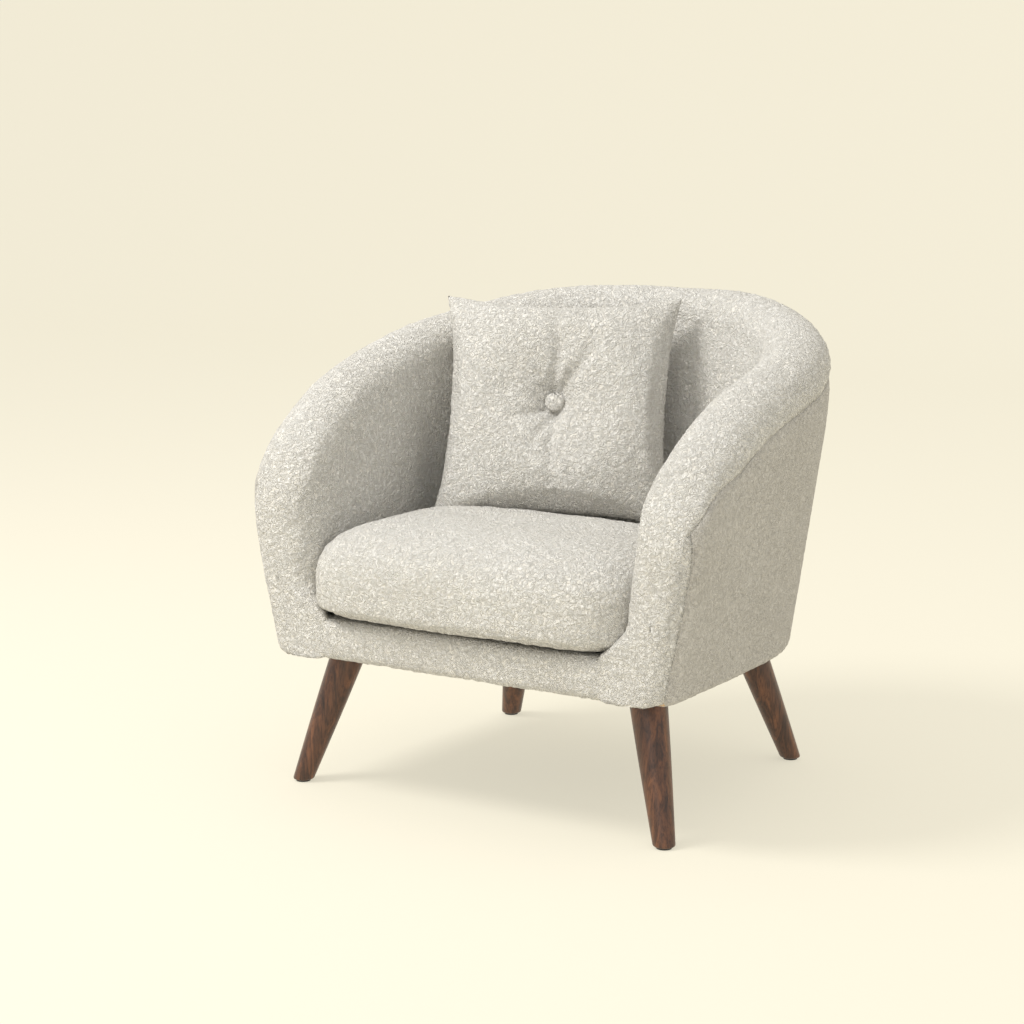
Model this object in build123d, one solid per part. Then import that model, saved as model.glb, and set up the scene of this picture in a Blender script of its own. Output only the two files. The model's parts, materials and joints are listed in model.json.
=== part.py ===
from build123d import *
import math
import os

# Tub armchair in millimetres. +Z is up, the chair faces -Y, and the origin is on the
# floor under the middle of the chair.

# Wall of the arms and back: a flared wall from one arm's front round the back to the other
HALF_WIDTH = 393.0        # middle of the chair to the outside of the arms at their widest
FRONT_Y = -336.0          # front face of the arms
BACK_Y = 360.0            # rear of the back
WALL_T = 106.0            # thickness of the arms and back at their top
BASE_Z = 211.0            # underside of the body
DECK_Z = 272.0            # top of the seat deck, where the cushion lies
WIDEST_Z = 610.0          # height at which the arms are widest
BASE_HALF = 350.0         # outside of the arms at the underside of the body
SEAT_HALF_WIDTH = 277.0   # inside of the arms at deck height
SEAT_BACK_Y = 170.0       # inside of the back at deck height
BACK_TOP_Z = 734.0        # top of the back
ARM_FRONT_Z = 425.0       # top of the upright front of the arms
SHOULDER_Y = 36.0         # shoulder of the arm's front behind its front face
SHOULDER_Z = 519.0
ARM_Y = 123.0             # end of the shoulder's curve behind the front face
ARM_Z = 592.0
BEND_Z = 656.0            # top of the wall where the arms turn into the back
SEAM_DROP = 66.0          # outside seam below the crest

# Layers of the wall
CLOTH = 2.6               # fabric cover
FOAM = 12.0               # foam under it
BOARD = 2.0               # outer backing board
BURLAP = 1.2              # inner backing cloth
FIT_GAP = 0.4             # clearance between layers and between loose parts
TUCK = 28.0               # how far the cover is folded under the wall

# Seams
FACING_EDGE = 12.0        # outside seam behind the arm's front face
FACING_DEPTH = 30.0       # depth of the arm facing
FACING_TOP_Z = 506.0      # short seam across the shoulder

# Seat frame
RAIL_T = 42.0             # thickness of the seat rails
RAIL_H = 44.0             # height of the seat rails
REAR_RAIL_Y = 164.0       # straight inner edge of the rear rail
BLOCK = 92.0              # side of a corner block
POST_W = 46.0             # width of posts and uprights
TOP_RAIL_H = 40.0         # height of the bent top rail and the padding built up over it
TOP_RAIL_EASE = 12.0      # bent top rail below the other wood, so that the roll over it is round
UPRIGHT_TURNS = (30.0, 90.0, 150.0)   # places of the back uprights round the barrel

# Suspension
SPRING_XS = (-160.0, -80.0, 0.0, 80.0, 160.0)
SPRING_WIRE = 3.6
SPRING_LOOPS = 16         # half loops of one spring
SPRING_BAR = 20.0         # straight part of each loop
SPRING_INSET = 9.0        # end bars from the edges of the rails
CLIP_WIDTH = 24.0
CLIP_DEPTH = 15.0
CLIP_SHEET = 0.8
TIE_WIRE = 2.4
DECK_CLOTH = 1.0
DUST_CLOTH = 1.0

# Front apron between the arms
APRON_DEPTH = 40.0
APRON_EDGE_R = 9.0
APRON_TOP_PAD = 3.6

# Legs
LEG_TOP_D = 50.0
LEG_FOOT_D = 28.0
FRONT_FOOT = (318.0, -286.0)
REAR_FOOT = (264.0, 229.0)
FRONT_SPLAY = (0.280, -0.243)   # outward and forward travel for each unit of drop
REAR_SPLAY = (0.284, 0.279)     # outward and backward travel for each unit of drop
PLATE = 62.0
PLATE_T = 3.0
PLATE_SHIFT = 9.0         # plate towards the middle of the chair
BOLT_D = 8.0
BOLT_DEPTH = 26.0         # length of the hanger bolt in the leg, and again in the frame
SCREW_D = 4.0
SCREW_HEAD_D = 7.6
SCREW_LENGTH = 20.0
SCREW_PITCH = 48.0
GLIDE_D = 22.0
GLIDE_T = 3.0
GLIDE_PIN_D = 3.0
GLIDE_PIN = 14.0

# Staples under the body
STAPLE_CROWN = 10.0
STAPLE_WIRE = 1.2
STAPLE_LEG = 7.0
STAPLE_INSET = 36.0       # from the body's outside to the line of staples
ARM_STAPLE_YS = (-250.0, -160.0, -70.0)
BACK_STAPLE_TURNS = (10.0, 36.0, 62.0, 90.0, 118.0, 144.0, 170.0)

# Seat cushion
CUSHION_FRONT_Y = -360.0
CUSHION_CROWN_Y = -200.0
CUSHION_CROWN_Z = 406.0
CUSHION_REAR_Z = 322.0
CUSHION_NOSE_Z = 384.0    # where the rounded front meets the top
CUSHION_BELLY_Z = 322.0   # where the front stands out furthest
CUSHION_NOSE = 46.0       # how far the rounded front reaches back
CUSHION_HEEL = 16.0       # how far the lower front edge stands back
CUSHION_SIDE_FALL = 42.0  # top at the sides below the top in the middle
CUSHION_CORNER_R = 55.0   # front corners in plan
CUSHION_GAP = 1.0
ZIP_LENGTH = 380.0
ZIP_WIDTH = 24.0
ZIP_TAPE = 1.2
ZIP_Y = 60.0
ZIP_RECESS = 5.0
SLIDER_LENGTH = 14.0
SLIDER_WIDTH = 9.0
SLIDER_T = 3.0
SLIDER_END = 6.0          # slider from the end of the zip when it is closed

# Scatter pillow
PILLOW = 373.0            # side of the square
PILLOW_FACE = 235.0       # side of the flatter middle of each face
PILLOW_THICK = 112.0
PILLOW_X = -78.0
PILLOW_OFF_BACK = 99.0    # centre of the pillow in front of the inside of the back at deck height
PILLOW_SINK = 5.0         # lower edge below the cushion's crown
PILLOW_TURN = 24.0        # turned towards the right arm, degrees
PILLOW_LEAN = 26.0        # leaning back, degrees
PILLOW_HEM = 5.0          # width of the seam round the edge
TUFT_R = 62.0
TUFT_DEPTH = 22.0
BUTTON_D = 30.0
BUTTON_T = 9.0
BUTTON_EDGE_R = 3.0
TWINE_D = 1.6

FLARE = (HALF_WIDTH - BASE_HALF) / (WIDEST_Z - BASE_Z)   # outward travel for each unit of height
OVERRUN = (BACK_TOP_Z - WIDEST_Z) * FLARE                # how much the back grows above WIDEST_Z
BEND_Y = BACK_Y - HALF_WIDTH - OVERRUN / 2               # where the straight arms turn into the back
SEAT_BEND_Y = SEAT_BACK_Y - SEAT_HALF_WIDTH
TOP_HALF = HALF_WIDTH - WALL_T
TOP_BEND_Y = BACK_Y - WALL_T - TOP_HALF
VOID = CLOTH + FOAM                # depth at which the frame's space starts
CORE = VOID + BOARD + 3 * FIT_GAP  # depth at which the wooden frame starts
RAIL_Z = BASE_Z + PLATE_T          # underside of the seat rails
RAIL_TOP_Z = RAIL_Z + RAIL_H
CLIP_HEIGHT = SPRING_WIRE + FIT_GAP + 2 * CLIP_SHEET
SPRING_Z = RAIL_TOP_Z + CLIP_HEIGHT / 2
CLOTH_Z = RAIL_TOP_Z + CLIP_HEIGHT + FIT_GAP
PAD_Z = CLOTH_Z + DECK_CLOTH + FIT_GAP / 2
RAIL_FRONT_Y = FRONT_Y + CORE
RAIL_INSIDE_Y = RAIL_FRONT_Y + RAIL_T
APRON_HALF = SEAT_HALF_WIDTH + CLOTH
FAR = 2 * BACK_Y                   # beyond the chair in every direction
HIGH = 3 * BACK_Y


def mix(a, b, share):
    return a + (b - a) * share


def plan(half, bend_y, front_y, z):
    """A D-shaped outline at height z: two straight sides and a half circle behind them."""
    right = Vector(half, bend_y, z)
    left = Vector(-half, bend_y, z)
    return Wire([
        Edge.make_line(Vector(half, front_y, z), right),
        Edge.make_three_point_arc(right, Vector(0, bend_y + half, z), left),
        Edge.make_line(left, Vector(-half, front_y, z)),
        Edge.make_line(Vector(-half, front_y, z), Vector(half, front_y, z)),
    ])


def flared(low, high, low_z, high_z, front_y, z0, z1):
    """A solid whose outline passes through a low and a high size, from height z0 to z1."""
    wires = []
    for z in (z0, z1):
        share = (z - low_z) / (high_z - low_z)
        wires.append(plan(mix(low[0], high[0], share), mix(low[1], high[1], share), front_y, z))
    return Solid.make_loft(wires, True)


def barrel(inset, z0=0.0, z1=None):
    """The chair's outside, filled, drawn in by an inset."""
    top = BACK_TOP_Z + WALL_T if z1 is None else z1
    low = (BASE_HALF - inset, BEND_Y)
    high = (HALF_WIDTH - inset, BEND_Y)
    return flared(low, high, BASE_Z, WIDEST_Z, FRONT_Y + inset, z0, top)


def well(inset):
    """The hollow between the arms, widened by an inset and open in front."""
    low = (SEAT_HALF_WIDTH + inset, SEAT_BEND_Y)
    high = (TOP_HALF + inset, TOP_BEND_Y)
    return flared(low, high, DECK_Z, WIDEST_Z, -FAR, 0.0, BACK_TOP_Z + WALL_T)


def above_crest(drop, set_back=0.0):
    """Everything above a curve that runs a fixed drop below the top of the arms and back."""
    front = FRONT_Y + set_back
    a = Vector(0, front, ARM_FRONT_Z - drop)
    b = Vector(0, front + SHOULDER_Y, SHOULDER_Z - drop)
    c = Vector(0, front + ARM_Y, ARM_Z - drop)
    d = Vector(0, BEND_Y, BEND_Z - drop)
    e = Vector(0, BACK_Y - WALL_T / 2, BACK_TOP_Z - drop)
    top = BACK_TOP_Z + 2 * WALL_T
    edges = [
        Edge.make_line(Vector(0, -FAR, a.Z), a),
        Edge.make_three_point_arc(a, b, c),
        Edge.make_three_point_arc(c, d, e),
        Edge.make_line(e, Vector(0, FAR, e.Z)),
        Edge.make_line(Vector(0, FAR, e.Z), Vector(0, FAR, top)),
        Edge.make_line(Vector(0, FAR, top), Vector(0, -FAR, top)),
        Edge.make_line(Vector(0, -FAR, top), Vector(0, -FAR, a.Z)),
    ]
    return extrude(Face(Wire(edges)), amount=FAR, both=True)


def wall(inset, floor_z):
    """The solid wall, drawn in by an inset, down to a floor height."""
    return barrel(inset, floor_z) - well(inset) - above_crest(inset, inset)


def prism(wire, height):
    return extrude(Face(wire), amount=height, dir=(0, 0, 1))


def outline(inset, z):
    return plan(BASE_HALF - inset, BEND_Y, FRONT_Y + inset, z)


def block(x0, x1, y0, y1, z0, z1):
    centre = ((x0 + x1) / 2, (y0 + y1) / 2, (z0 + z1) / 2)
    return Pos(*centre) * Box(abs(x1 - x0), abs(y1 - y0), abs(z1 - z0))


def one(shape):
    """The largest solid of a boolean result, without crumbs at its edges."""
    return max(shape.solids(), key=lambda solid: solid.volume)


# ---------------------------------------------------------------- wall: cover, foam, backing
def outside_zone():
    """Where the outside cover goes: behind the facings, outside the wall's middle, under the seam."""
    within = barrel(TUCK)
    behind_facing = block(-FAR, FAR, FRONT_Y + FACING_EDGE, FAR, 0, HIGH)
    inner = SEAT_HALF_WIDTH + WALL_T / 2
    between_arms = block(-inner, inner, -FAR, FRONT_Y + TUCK + CLOTH, 0, HIGH)
    return behind_facing - between_arms - within - above_crest(SEAM_DROP)


def wall_parts(full):
    outside = outside_zone()
    below = plan(BASE_HALF - TUCK, BEND_Y, FRONT_Y + VOID + FIT_GAP, BASE_Z - CLOTH)
    under_deck = prism(below, CLOTH_Z - BASE_Z + CLOTH)
    cover = full - wall(CLOTH, BASE_Z + CLOTH) - under_deck
    foam = wall(CLOTH + FIT_GAP, BASE_Z + CLOTH + FIT_GAP) - wall(VOID, 0.0) - under_deck
    inside = cover - outside
    parts = {"cover_outside": one(cover & outside)}
    for name, sign in (("arm_facing_left", -1), ("arm_facing_right", 1)):
        zone = block(0, sign * FAR, FRONT_Y - 1, FRONT_Y + FACING_DEPTH, 0, FACING_TOP_Z)
        parts[name] = one(inside & zone)
        inside = inside - zone
    floor = CLOTH_Z
    layer = wall(VOID + FIT_GAP, floor)
    parts["cover_inside_and_roll"] = one(inside)
    parts["wall_foam"] = one(foam)
    parts["backing_board"] = one((layer & outside) - wall(VOID + BOARD, 0.0))
    parts["backing_burlap"] = one((layer - outside) - wall(VOID + BURLAP, 0.0))
    return parts


# ---------------------------------------------------------------- wooden frame
def leg_places():
    """Each leg as its name, its foot and its travel outward for each unit of drop."""
    places = []
    for end, foot, splay in (("front", FRONT_FOOT, FRONT_SPLAY), ("rear", REAR_FOOT, REAR_SPLAY)):
        for side, sign in (("left", -1), ("right", 1)):
            spread = (sign * splay[0], splay[1])
            places.append((end + "_" + side, (sign * foot[0], foot[1]), spread))
    return places


def leg_top(foot, spread):
    drop = BASE_Z
    return foot[0] - spread[0] * drop, foot[1] - spread[1] * drop


def seat_frame():
    ring = prism(outline(CORE, BASE_Z), RAIL_H)
    middle = prism(outline(CORE + RAIL_T, BASE_Z), RAIL_H)
    rear = block(-FAR, FAR, REAR_RAIL_Y, FAR, 0, HIGH)
    front = block(-FAR, FAR, -FAR, RAIL_INSIDE_Y, 0, HIGH)
    sides = ring - middle - rear - front
    lift = Pos(0, 0, RAIL_Z - BASE_Z)
    wood = {"front_rail": one(lift * (ring & front)), "rear_rail": one(lift * (ring & rear))}
    for side, sign in (("left", -1), ("right", 1)):
        half = block(0, sign * FAR, -FAR, FAR, 0, HIGH)
        wood["side_rail_" + side] = one(lift * (sides & half))
    inside = lift * (middle - rear)
    blocks = []
    for name, foot, spread in leg_places():
        x, y = leg_top(foot, spread)
        cube = Pos(x, y, RAIL_Z + RAIL_H / 2) * Box(BLOCK, BLOCK, RAIL_H)
        blocks.append(one(cube & inside))
    return wood, blocks


def upper_frame():
    core = wall(CORE, RAIL_TOP_Z)
    above = above_crest(CORE + TOP_RAIL_H)
    rail = wall(CORE + TOP_RAIL_EASE, RAIL_TOP_Z) & above
    wood = {"bent_top_rail": one(rail)}
    below = core - above
    post_y = FRONT_Y + CORE + POST_W / 2
    mid_y = BEND_Y - POST_W
    for side, sign in (("left", -1), ("right", 1)):
        for name, y in (("front_post_", post_y), ("arm_post_", mid_y)):
            zone = block(0, sign * FAR, y - POST_W / 2, y + POST_W / 2, 0, HIGH)
            wood[name + side] = one(below & zone)
    uprights = []
    for turn in UPRIGHT_TURNS:
        zone = Pos(0, BEND_Y, 0) * Rot(0, 0, turn) * block(0, FAR, -POST_W / 2, POST_W / 2, 0, HIGH)
        uprights.append(one(below & zone))
    wood["back_uprights"] = Compound(children=uprights)
    return wood


# ---------------------------------------------------------------- legs and their fixings
def leg_fixings(wood, blocks):
    parts = {}
    bolts = []
    screws = []
    plates = []
    for name, foot, spread in leg_places():
        x, y = leg_top(foot, spread)
        top = Plane((x, y, BASE_Z)) * Circle(LEG_TOP_D / 2)
        low_x = foot[0] - spread[0] * GLIDE_T
        low_y = foot[1] - spread[1] * GLIDE_T
        low = Plane((low_x, low_y, GLIDE_T)) * Circle(LEG_FOOT_D / 2)
        leg = Solid.make_loft([low.face().outer_wire(), top.face().outer_wire()], True)
        axis = Plane((x, y, BASE_Z), z_dir=(-spread[0], -spread[1], 1.0))
        bolt = axis.location * Cylinder(BOLT_D / 2, 2 * BOLT_DEPTH)
        glide = Pos(low_x, low_y, GLIDE_T / 2) * Cylinder(GLIDE_D / 2, GLIDE_T)
        pin = Pos(low_x, low_y, GLIDE_T + GLIDE_PIN / 2) * Cylinder(GLIDE_PIN_D / 2, GLIDE_PIN)
        turn = math.degrees(math.atan2(spread[1], spread[0]))
        spot = Pos(x, y, BASE_Z) * Rot(0, 0, turn) * Pos(-PLATE_SHIFT, 0, 0)
        plate = spot * Pos(0, 0, PLATE_T / 2) * Box(PLATE, PLATE, PLATE_T) - bolt
        for dx in (-SCREW_PITCH / 2, SCREW_PITCH / 2):
            for dy in (-SCREW_PITCH / 2, SCREW_PITCH / 2):
                shaft = Pos(dx, dy, SCREW_LENGTH / 2) * Cylinder(SCREW_D / 2, SCREW_LENGTH)
                head_t = (SCREW_HEAD_D - SCREW_D) / 2
                head = Pos(dx, dy, head_t / 2) * Cone(SCREW_HEAD_D / 2, SCREW_D / 2, head_t)
                screw = spot * (shaft + head)
                screws.append(one(screw))
                plate = plate - screw
        parts["leg_" + name] = one(leg - bolt - pin)
        parts["glide_" + name] = one(glide + pin)
        plates.append(one(plate))
        bolts.append(one(bolt))
    fixings = bolts + screws
    for name in wood:
        wood[name] = one(wood[name] - near(wood[name], fixings))
    for index, piece in enumerate(blocks):
        blocks[index] = one(piece - near(piece, fixings))
    parts["leg_plates"] = Compound(children=plates)
    parts["hanger_bolts"] = Compound(children=bolts)
    parts["plate_screws"] = Compound(children=screws)
    return parts, plates


def near(piece, cutters):
    """The cutters whose box meets the piece's box."""
    a = piece.bounding_box()
    found = []
    for cutter in cutters:
        b = cutter.bounding_box()
        apart = (
            a.min.X > b.max.X or b.min.X > a.max.X or a.min.Y > b.max.Y
            or b.min.Y > a.max.Y or a.min.Z > b.max.Z or b.min.Z > a.max.Z
        )
        if not apart:
            found.append(cutter)
    return found


# ---------------------------------------------------------------- seat suspension and deck
def spring(x, start_y, end_y):
    """A serpentine spring with its end bars at the two given places."""
    pitch = (end_y - start_y) / SPRING_LOOPS
    bar = SPRING_BAR / 2
    edges = []
    for i in range(SPRING_LOOPS + 1):
        side = 1 if i % 2 == 0 else -1
        y = start_y + i * pitch
        a = Vector(x - side * bar, y, SPRING_Z)
        b = Vector(x + side * bar, y, SPRING_Z)
        edges.append(Edge.make_line(a, b))
        if i < SPRING_LOOPS:
            turn = Vector(x + side * (bar + pitch / 2), y + pitch / 2, SPRING_Z)
            edges.append(Edge.make_three_point_arc(b, turn, b + Vector(0, pitch, 0)))
    path = Wire(edges)
    section = Plane(origin=path.position_at(0), z_dir=path.tangent_at(0)) * Circle(SPRING_WIRE / 2)
    return one(sweep(section, path=path))


def seat_well(z0, z1, full):
    """A sheet that fills the seat between the walls, from the apron to the back."""
    y0 = FRONT_Y + APRON_DEPTH + FIT_GAP
    sheet = block(-SEAT_HALF_WIDTH - CLOTH, SEAT_HALF_WIDTH + CLOTH, y0, SEAT_BACK_Y + CLOTH, z0, z1)
    return one(sheet - full)


def suspension(full):
    start_y = RAIL_INSIDE_Y - SPRING_INSET
    end_y = REAR_RAIL_Y + SPRING_INSET
    springs = [spring(x, start_y, end_y) for x in SPRING_XS]
    clips = []
    slot_h = CLIP_HEIGHT - 2 * CLIP_SHEET
    slot_y = SPRING_WIRE / 2 + FIT_GAP
    for x in SPRING_XS:
        for y, inward in ((start_y, 1), (end_y, -1)):
            far_y = y - inward * (CLIP_DEPTH - SPRING_INSET)
            near_y = far_y + inward * CLIP_DEPTH
            z0 = RAIL_TOP_Z
            shell = block(x - CLIP_WIDTH / 2, x + CLIP_WIDTH / 2, far_y, near_y, z0, z0 + CLIP_HEIGHT)
            slot = block(x - CLIP_WIDTH, x + CLIP_WIDTH, y - inward * slot_y, near_y + inward,
                         z0 + CLIP_SHEET, z0 + CLIP_SHEET + slot_h)
            clips.append(one(shell - slot))
    tie_y = (start_y + end_y) / 2
    tie_half = BASE_HALF - CORE - RAIL_T - FIT_GAP
    tie_z = SPRING_Z - SPRING_WIRE / 2 - TIE_WIRE / 2 - FIT_GAP / 2
    tie = Pos(0, tie_y, tie_z) * Rot(0, 90, 0) * Cylinder(TIE_WIRE / 2, 2 * tie_half)
    return {
        "sinuous_springs": Compound(children=springs),
        "spring_clips": Compound(children=clips),
        "spring_tie_wire": tie,
        "deck_cloth": seat_well(CLOTH_Z, CLOTH_Z + DECK_CLOTH, full),
        "deck_pad": seat_well(PAD_Z, DECK_Z - FIT_GAP, full),
    }


# ---------------------------------------------------------------- apron and underside
def apron_bar(inset):
    """A bar with rounded front edges that fills the front below the cushion."""
    bar = block(-APRON_HALF, APRON_HALF, FRONT_Y + inset, FRONT_Y + APRON_DEPTH + inset,
                BASE_Z + inset, DECK_Z - FIT_GAP - inset)
    front_edges = bar.edges().filter_by(Axis.X).group_by(Axis.Y)[0]
    return fillet(front_edges, APRON_EDGE_R - inset)


def apron(full):
    cover = (apron_bar(0.0) - apron_bar(CLOTH)) - full
    behind = FRONT_Y + VOID
    padding = apron_bar(CLOTH + FIT_GAP) - block(-FAR, FAR, behind, FAR, 0, DECK_Z - CLOTH - APRON_TOP_PAD)
    rear_end = block(-FAR, FAR, FRONT_Y + APRON_DEPTH, FAR, 0, HIGH)
    return {"apron_cover": one(cover), "apron_pad": one(padding - rear_end - full)}


def underside(wood, plates):
    """The dust cover with its staples, which also go up into the rails."""
    staples = []
    reach = BASE_HALF - STAPLE_INSET
    spots = []
    for y in ARM_STAPLE_YS:
        spots += [(Vector(side * reach, y, BASE_Z), (side, 0.0)) for side in (-1.0, 1.0)]
    for turn in BACK_STAPLE_TURNS:
        c = math.cos(math.radians(turn))
        s = math.sin(math.radians(turn))
        spots.append((Vector(reach * c, BEND_Y + reach * s, BASE_Z), (c, s)))
    front_y = FRONT_Y + APRON_DEPTH + STAPLE_CROWN / 2
    spots += [(Vector(x, front_y, BASE_Z), (0.0, -1.0)) for x in SPRING_XS]
    for place, outward in spots:
        turn = math.degrees(math.atan2(outward[1], outward[0])) + 90.0
        crown = Pos(0, 0, -STAPLE_WIRE / 2) * Box(STAPLE_CROWN, STAPLE_WIRE, STAPLE_WIRE)
        leg_x = (STAPLE_CROWN - STAPLE_WIRE) / 2
        legs = [
            Pos(side * leg_x, 0, STAPLE_LEG / 2) * Box(STAPLE_WIRE, STAPLE_WIRE, STAPLE_LEG)
            for side in (-1, 1)
        ]
        staples.append(one(Pos(*place) * Rot(0, 0, turn) * (crown + legs)))
    sheet = prism(outline(TUCK + FIT_GAP, BASE_Z), DUST_CLOTH)
    sheet = sheet - block(-FAR, FAR, -FAR, FRONT_Y + APRON_DEPTH + FIT_GAP, 0, HIGH)
    sheet = sheet - plates - staples
    for name in wood:
        cutters = near(wood[name], staples)
        if cutters:
            wood[name] = one(wood[name] - cutters)
    return {"dust_cover": one(sheet), "staples": Compound(children=staples)}


# ---------------------------------------------------------------- seat cushion
def cushion(inset):
    """The cushion, drawn in by an inset: its plan, its side profile and its crowned front."""
    gap = CUSHION_GAP + inset
    half = SEAT_HALF_WIDTH - gap
    front = CUSHION_FRONT_Y + inset
    r = CUSHION_CORNER_R - inset
    diagonal = r * (1 - math.sqrt(0.5))
    right = Vector(half, SEAT_BEND_Y, 0)
    left = Vector(-half, SEAT_BEND_Y, 0)
    edges = [
        Edge.make_three_point_arc(right, Vector(0, SEAT_BEND_Y + half, 0), left),
        Edge.make_line(Vector(-half + r, front, 0), Vector(half - r, front, 0)),
    ]
    for side, rear_end in ((-1, left), (1, right)):
        on_side = Vector(side * half, front + r, 0)
        corner = Vector(side * (half - diagonal), front + diagonal, 0)
        on_front = Vector(side * (half - r), front, 0)
        edges.append(Edge.make_line(rear_end, on_side))
        edges.append(Edge.make_three_point_arc(on_side, corner, on_front))
    seen_from_above = prism(Wire(edges), HIGH)
    bottom = DECK_Z + inset
    rear = SEAT_BACK_Y + CLOTH
    heel = Vector(0, front + CUSHION_HEEL, bottom)
    shoulder = Vector(0, front + CUSHION_NOSE, CUSHION_NOSE_Z - inset)
    crown = Vector(0, CUSHION_CROWN_Y, CUSHION_CROWN_Z - inset)
    rear_top = Vector(0, rear, CUSHION_REAR_Z - inset)
    profile = Wire([
        Edge.make_line(Vector(0, rear, bottom), heel),
        Edge.make_three_point_arc(heel, Vector(0, front, CUSHION_BELLY_Z), shoulder),
        Edge.make_three_point_arc(shoulder, crown, rear_top),
        Edge.make_line(rear_top, Vector(0, rear, bottom)),
    ])
    side_on = extrude(Face(profile), amount=HALF_WIDTH, dir=(1, 0, 0), both=True)
    side_x = SEAT_HALF_WIDTH + CUSHION_GAP
    left_top = Vector(-side_x, -FAR, CUSHION_CROWN_Z - CUSHION_SIDE_FALL - inset)
    right_top = Vector(side_x, -FAR, left_top.Z)
    bulge = Wire([
        Edge.make_line(Vector(-side_x, -FAR, 0), Vector(side_x, -FAR, 0)),
        Edge.make_line(Vector(side_x, -FAR, 0), right_top),
        Edge.make_three_point_arc(right_top, Vector(0, -FAR, CUSHION_CROWN_Z - inset), left_top),
        Edge.make_line(left_top, Vector(-side_x, -FAR, 0)),
    ])
    along = extrude(Face(bulge), amount=2 * FAR, dir=(0, 1, 0))
    return one((seen_from_above & along) & side_on)


def cushion_parts():
    inner = cushion(CLOTH)
    recess = block(-ZIP_LENGTH / 2, ZIP_LENGTH / 2, ZIP_Y - ZIP_WIDTH / 2, ZIP_Y + ZIP_WIDTH / 2,
                   DECK_Z - 1, DECK_Z + ZIP_RECESS)
    tape = block(-ZIP_LENGTH / 2, ZIP_LENGTH / 2, ZIP_Y - ZIP_WIDTH / 2, ZIP_Y + ZIP_WIDTH / 2,
                 DECK_Z + ZIP_RECESS - ZIP_TAPE, DECK_Z + ZIP_RECESS)
    slider_x = ZIP_LENGTH / 2 - SLIDER_END - SLIDER_LENGTH / 2
    slider_top = DECK_Z + ZIP_RECESS - ZIP_TAPE - FIT_GAP
    slider = block(slider_x - SLIDER_LENGTH / 2, slider_x + SLIDER_LENGTH / 2,
                   ZIP_Y - SLIDER_WIDTH / 2, ZIP_Y + SLIDER_WIDTH / 2, slider_top - SLIDER_T, slider_top)
    slider = fillet(slider.edges().filter_by(Axis.Z), SLIDER_WIDTH / 4)
    return {
        "seat_cushion_cover": one(cushion(0.0) - inner - recess),
        "seat_cushion_foam": one(inner - recess),
        "seat_cushion_zip_tape": tape,
        "seat_cushion_zip_slider": one(slider),
    }


# ---------------------------------------------------------------- scatter pillow
def pillow_body(inset, hem):
    """Two shallow pyramids back to back, with a dimple for the button in each face."""
    half = PILLOW_THICK / 2 - inset
    edge = Rectangle(PILLOW - 2 * hem, PILLOW - 2 * hem).face().outer_wire()
    face = (Pos(0, 0, half) * Rectangle(PILLOW_FACE, PILLOW_FACE)).face().outer_wire()
    front = Solid.make_loft([edge, face], True)
    dimple = Pos(0, 0, half - TUFT_DEPTH / 2) * Cone(BUTTON_D / 2 + inset, TUFT_R + inset, TUFT_DEPTH)
    front = front - dimple
    return one(front + mirror(front, about=Plane.XY))


def pillow_place():
    turn = math.radians(PILLOW_TURN)
    lean = math.radians(PILLOW_LEAN)
    z = CUSHION_CROWN_Z - PILLOW_SINK + PILLOW / 2 * math.cos(lean)
    facing = (math.cos(lean) * math.sin(turn), -math.cos(lean) * math.cos(turn), math.sin(lean))
    across = (math.cos(turn), math.sin(turn), 0.0)
    return Plane(origin=(PILLOW_X, SEAT_BACK_Y - PILLOW_OFF_BACK, z), x_dir=across, z_dir=facing).location


def pillow_parts():
    place = pillow_place()
    inner = pillow_body(CLOTH, PILLOW_HEM)
    seat = PILLOW_THICK / 2 - TUFT_DEPTH
    twine = Cylinder(TWINE_D / 2, 2 * seat)
    button = Pos(0, 0, seat + BUTTON_T / 2) * Cylinder(BUTTON_D / 2, BUTTON_T)
    button = fillet(button.edges().filter_by(GeomType.CIRCLE).group_by(Axis.Z)[-1], BUTTON_EDGE_R)
    return {
        "pillow_cover": place * one(pillow_body(0.0, 0.0) - inner - twine),
        "pillow_filling": place * one(inner - twine),
        "pillow_front_button": place * one(button),
        "pillow_rear_button": place * one(mirror(button, about=Plane.XY)),
        "pillow_twine": place * twine,
    }


def main():
    full = wall(0.0, BASE_Z)
    wood, blocks = seat_frame()
    fixings, plates = leg_fixings(wood, blocks)
    under = underside(wood, plates)
    parts = wall_parts(full)
    for more in (wood, {"corner_blocks": Compound(children=blocks)}, upper_frame(), fixings, under,
                 suspension(full), apron(full), cushion_parts(), pillow_parts()):
        parts.update(more)
    os.makedirs("parts", exist_ok=True)
    for name, shape in parts.items():
        export_step(shape, "parts/" + name + ".step")


if __name__ == "__main__":
    main()
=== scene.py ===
import json
import math
import bmesh
import bpy
from mathutils import Matrix, Vector, noise


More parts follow.
